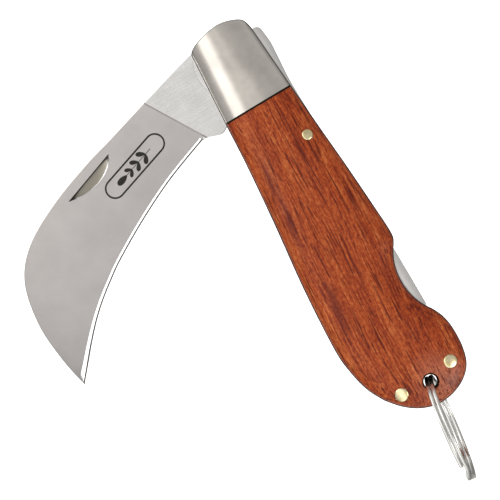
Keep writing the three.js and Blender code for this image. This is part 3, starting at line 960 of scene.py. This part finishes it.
def paint_blade(mesh):
    """Gives each face of the blade the steel of its region, with painted shade in the nail nick, a painted
    highlight on its rim and a painted dark line along the very edge.
    """
    mesh.materials.clear()
    for material in (BLADE_STEEL, TANG_STEEL, BEVEL_STEEL, NICK_SHADE_STEEL, PAINTED_DARK_STEEL):
        mesh.materials.append(material)
    middles = np.array([polygon.center for polygon in mesh.polygons])
    centres = middles[:, [0, 2]] / MM
    tang = past_plunge(centres) < 0.02
    edge_distance = distance_to_line(centres, BLADE_EDGE, False)
    bevelled = (edge_distance < bevel_width(centres)) & ~tang
    nick = inside(centres, NICK_LOOP) & (middles[:, 1] < MIDDLE_Y * MM)
    nick_wall_shade = nick & (distance_to_line(centres, NICK_WALL, False) < NICK_WALL_WIDTH)
    nick_rim_highlight = nick & (distance_to_line(centres, NICK_CURVE, False) < NICK_RIM_WIDTH)
    very_edge = (edge_distance < EDGE_LINE) & ~tang
    # The nick's floor and wall get painted shade, the very edge a painted dark reflection, and the nick's
    # rim bright bevel steel as a painted highlight.
    regions = ((tang, 1), (bevelled, 2), (nick, 3), (nick_rim_highlight, 2), (nick_wall_shade, 4), (very_edge, 4))
    for region, index in regions:
        for polygon in np.array(mesh.polygons)[region]:
            polygon.material_index = index


def make_blade():
    hole = circle(PIVOT, PIVOT_HOLE_RADIUS)
    lines = blade_lines()
    blade = relief("blade_fine", [BLADE_LOOP, hole], lambda p: MIDDLE_Y - blade_height(p, -1),
                   lambda p: MIDDLE_Y + blade_height(p, 1), blade_points(hole, lines[0]), lines, 12)
    paint_blade(blade.data)
    turn(blade, BLADE_ANGLE, PIVOT)
    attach(blade, "blade")
    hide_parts("blade")


def make_mark():
    """A plain etched motif on the blade: a rounded border and a sprig of seven leaves."""
    low = np.array(MARK_ENDS[0])
    along = unit_along(*MARK_ENDS)
    across = np.array([-along[1], along[0]])
    length = np.linalg.norm(np.array(MARK_ENDS[1]) - low)

    def place(u, v):
        return tuple(low + along * u + across * v)

    def stadium(half):
        turns = np.linspace(-math.pi / 2, math.pi / 2, 25)
        near = [(MARK_HALF - half * math.cos(a), half * math.sin(a)) for a in turns]
        far = [(length - MARK_HALF + half * math.cos(a), half * math.sin(a)) for a in turns[::-1]]
        return [place(u, v) for u, v in near + far]

    def leaf(u, v, angle, size):
        points = []
        for k in range(24):
            t = 2 * math.pi * k / 24
            x = size * (1 - math.cos(t)) / 2
            y = LEAF_WIDTH * size * math.sin(t) * math.sin(t / 2) ** 0.6
            across_leaf = x * math.cos(angle) - y * math.sin(angle)
            up_leaf = x * math.sin(angle) + y * math.cos(angle)
            points.append(place(u + across_leaf, v + up_leaf))
        return points

    middle = length / 2
    stem = [(middle - 5.4, -0.09), (middle + 3.2, -0.07), (middle + 3.2, 0.07), (middle - 5.4, 0.09)]
    shapes = [[stadium(MARK_HALF), stadium(MARK_HALF - MARK_LINE)], [[place(u, v) for u, v in stem]],
              [leaf(middle + 2.8, 0, 0, 3.2)]]
    for u, turned, size in ((-3.8, 0.75, 2.4), (-1.3, 0.7, 2.2), (1.0, 0.62, 1.9)):
        for flip in (-1, 1):
            shapes.append([leaf(middle + u, 0.05 * flip, turned * flip, size)])
    for number, loops in enumerate(shapes):
        loops = [resample(loop, 0.25) for loop in loops]
        piece = relief(f"etched_mark_{number}", loops,
                       lambda p: MIDDLE_Y - blade_height(p, 1) - MARK_PROUD,
                       lambda p: MIDDLE_Y - blade_height(p, 1) + 0.1)
        turn(piece, BLADE_ANGLE, PIVOT)
        finish_piece(piece, ETCHED, "blade_steel", "blade")


# ---- Split ring ----

def tube_faces(steps, sides):
    """Faces between the rows of a tube, whose vertices run row by row."""
    faces = []
    for k in range(steps):
        for n in range(sides):
            m = (n + 1) % sides
            faces.append((k * sides + n, k * sides + m, (k + 1) * sides + m, (k + 1) * sides + n))
    return faces


def make_ring():
    """Two turns of flattened wire that change places below; the wire's ends lie beside the change."""
    middle = RING_RADIUS - WIRE_HALF_RADIAL
    start = RING_CHANGE + RING_END_GAP
    stop = RING_CHANGE + 720 - RING_END_GAP
    vertices = []
    for k in range(WIRE_STEPS + 1):
        degrees = start + (stop - start) * k / WIRE_STEPS
        through = (degrees - (RING_CHANGE + 360)) / (2 * RING_RAMP) + 0.5
        side = 0.5 - float(smoothstep(np.array(through)))
        a = math.radians(degrees)
        for n in range(WIRE_SIDES):
            b = 2 * math.pi * n / WIRE_SIDES
            out = WIRE_HALF_RADIAL * math.copysign(abs(math.cos(b)) ** WIRE_SQUARENESS, math.cos(b))
            aside = WIRE_HALF_AXIAL * math.copysign(abs(math.sin(b)) ** WIRE_SQUARENESS, math.sin(b))
            radius = middle + out
            vertices.append((side + aside, radius * math.cos(a), radius * math.sin(a)))
    faces = [tuple(reversed(range(WIRE_SIDES)))] + tube_faces(WIRE_STEPS, WIRE_SIDES)
    faces.append(tuple(WIRE_STEPS * WIRE_SIDES + n for n in range(WIRE_SIDES)))
    ring = new_object("split_ring_fine", [tuple(c * MM for c in v) for v in vertices], faces, 50)
    hole = Vector((LANYARD_HOLE[0], MIDDLE_Y, LANYARD_HOLE[1])) * MM
    swing = Matrix.Rotation(math.radians(RING_SWING), 4, "Y")
    twist = Matrix.Rotation(math.radians(RING_TWIST), 4, "Z")
    drop = Matrix.Translation((0, 0, -RING_DROP * MM))
    ring.data.transform(Matrix.Translation(hole) @ swing @ drop @ twist)
    finish_piece(ring, RING_NICKEL, "ring_nickel", "ring", "split_ring")


# ---- Hidden fastenings keep their CAD shape ----

def finish_cad_nodes():
    rivets = [f"{word}_{place}_rivet" for word in ("front", "rear") for place in ("belly", "back")]
    for name in rivets + ["pivot_pin"]:
        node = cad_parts[name]
        node.data.materials.clear()
        node.data.materials.append(NICKEL if name == "pivot_pin" else LINER_STEEL)
        softened = node.modifiers.new("soft edges", "BEVEL")
        softened.width = HIDDEN_BEVEL * MM
        softened.segments = 2
        softened.limit_method = "ANGLE"


# ---- Studio ----

def make_stage():
    """A pale studio: a round floor that curves up into its wall, seen by the camera only."""
    n = Nodes(bpy.data.materials.new("pale_paper"))
    paper = n.ramp(n.noise(n.place, 3.0, 4.0), [(0.3, (0.90, 0.90, 0.90)), (0.7, (0.94, 0.94, 0.94))])
    n.set("Base Color", paper)
    n.set("Roughness", 0.9)
    n.set("Emission Color", WHITE)
    n.set("Emission Strength", STAGE_GLOW)
    profile = [(STAGE_RADIUS - STAGE_CURVE * (1 - math.sin(a)), FLOOR_Z + STAGE_CURVE * (1 - math.cos(a)))
               for a in np.linspace(0, math.pi / 2, 16)]
    profile.append((STAGE_RADIUS, STAGE_TOP))
    turns = [2 * math.pi * k / STAGE_SIDES for k in range(STAGE_SIDES)]
    vertices = [(r * math.cos(t), r * math.sin(t), z) for r, z in profile for t in turns]
    last_row = range(len(vertices) - STAGE_SIDES, len(vertices))
    faces = [tuple(range(STAGE_SIDES)), tuple(reversed(last_row))]
    faces += tube_faces(len(profile) - 1, STAGE_SIDES)
    bowl = new_object("backdrop_bowl", vertices, faces, 60)
    bowl.data.materials.append(n.owner)
    for ray in ("glossy", "diffuse", "transmission", "shadow"):
        setattr(bowl, f"visible_{ray}", False)


def add_area(name, place, target, size, power):
    light = bpy.data.lights.new(name, "AREA")
    light.shape = "RECTANGLE"
    light.size, light.size_y = size
    light.energy = power
    lamp = bpy.data.objects.new(name, light)
    bpy.context.scene.collection.objects.link(lamp)
    lamp.location = place
    lamp.rotation_euler = (Vector(target) - Vector(place)).to_track_quat("-Z", "Z").to_euler()


def make_world():
    """Soft studio surroundings, brightest a little towards the belly side and dimmer behind the knife."""
    world = bpy.data.worlds.new("studio")
    bpy.context.scene.world = world
    n = Nodes(world, "Background", "Generated")
    x, y = (n.add("ShaderNodeSeparateXYZ", {0: n.place}, axis) for axis in "XY")
    across = n.add("ShaderNodeMapRange", {"Value": x, "From Min": -1, "From Max": 1})
    stops = [((at + 1) / 2, tuple(tone * share for share in WORLD_WARMTH)) for at, tone in WORLD_TONES]
    n.set("Color", n.ramp(across, stops))
    limits = {"From Min": -0.2, "From Max": 0.5,
              "To Min": WORLD_STRENGTH, "To Max": WORLD_STRENGTH * WORLD_BEHIND}
    n.set("Strength", n.add("ShaderNodeMapRange", {"Value": y, **limits}))


def make_studio():
    make_stage()
    make_world()
    target = (-0.02, MIDDLE_Y * MM, -0.04)
    add_area("key", (-0.55, -0.55, 0.45), target, (0.5, 0.5), KEY_POWER)
    add_area("fill", (0.30, -0.42, -0.48), target, (0.35, 0.35), FILL_POWER)
    add_area("top", (0.0, -0.1, 0.8), target, (0.8, 0.6), TOP_POWER)
    scene = bpy.context.scene
    scene.view_settings.view_transform = "Standard"
    lens = bpy.data.cameras.new("camera")
    lens.sensor_width = CAMERA_SENSOR
    lens.lens = CAMERA_SENSOR * CAMERA_DISTANCE / CAMERA_WIDTH
    camera = bpy.data.objects.new("camera", lens)
    scene.collection.objects.link(camera)
    roll = math.radians(CAMERA_ROLL)
    right = Vector((math.cos(roll), 0, -math.sin(roll)))
    up = Vector((math.sin(roll), 0, math.cos(roll)))
    back = Vector((0, -1, 0))
    turned = Matrix((right, up, back)).transposed().to_4x4()
    centre = Vector((CAMERA_AIM[0] * MM, MIDDLE_Y * MM, CAMERA_AIM[1] * MM))
    camera.matrix_world = Matrix.Translation(centre + back * CAMERA_DISTANCE) @ turned
    scene.camera = camera


# ---- Run ----

make_studio()
make_handle()
for pin in PINS:
    make_pin(*pin)
make_butt_spacer()
make_lock_bar()
make_lock_spring()
make_blade()
make_mark()
make_ring()
finish_cad_nodes()
